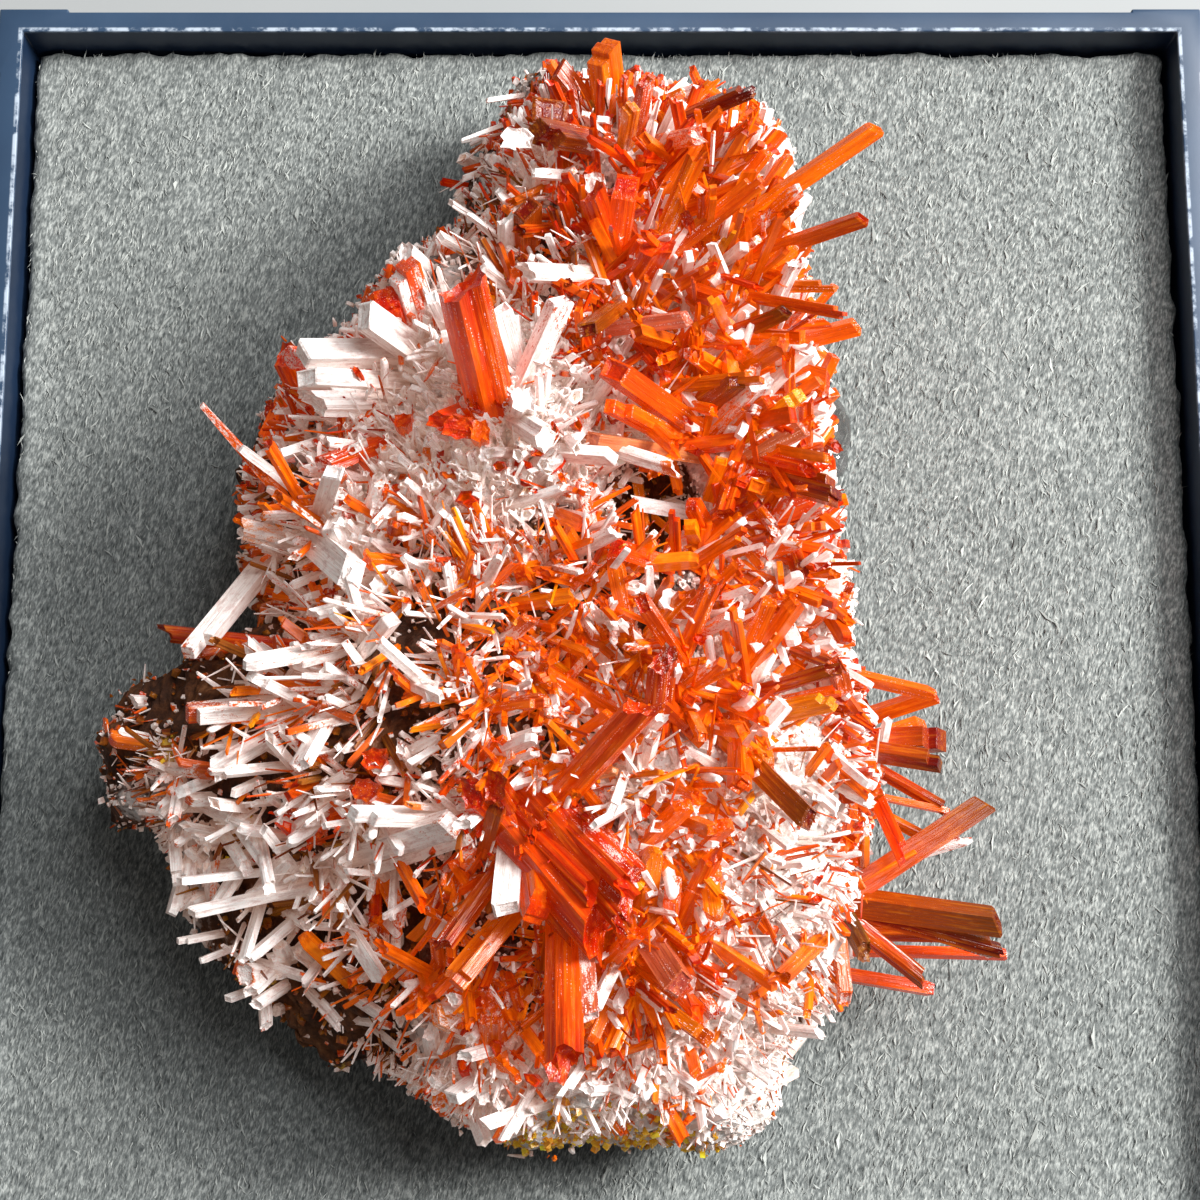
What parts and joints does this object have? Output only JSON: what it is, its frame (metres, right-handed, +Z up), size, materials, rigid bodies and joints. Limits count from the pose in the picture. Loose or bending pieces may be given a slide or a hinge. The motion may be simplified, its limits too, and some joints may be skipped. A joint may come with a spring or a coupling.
{
  "type": "crocoite mineral specimen in a display box",
  "caption": "Orange-red prismatic crystals in sprays on brown rock with a white crust, glued to the grey felt pad of an open square display box.",
  "frame": {"origin": "centre of the display box's underside", "axes": "+Z up out of the open box, +Y away from the viewer, +X to the viewer's right"},
  "size_m": [0.07, 0.07, 0.0349],
  "materials": {
    "navy_plastic": "smooth moulded plastic, scuffed along the rim",
    "grey_felt": "short felted pile with pale loose fibres",
    "clear_glue": "clear, wet-looking",
    "matrix": "rough brown gossan with white and ochre crust",
    "crocoite": "bright, glassy striated crystal"
  },
  "bodies": {
    "root": {"box_tray": "navy_plastic", "felt_pad": "grey_felt", "glue_bead": "clear_glue", "matrix_rock": "matrix", "top_fan": "crocoite", "upper_middle_spray": "crocoite", "upper_right_spray": "crocoite", "middle_right_spray": "crocoite", "left_prism": "crocoite", "left_slabs": "crocoite", "left_blade_spray": "crocoite", "lower_left_rods": "crocoite", "red_mass": "crocoite", "lower_right_spray": "crocoite", "right_spray": "crocoite", "right_cluster": "crocoite"}
  },
  "joints": []
}
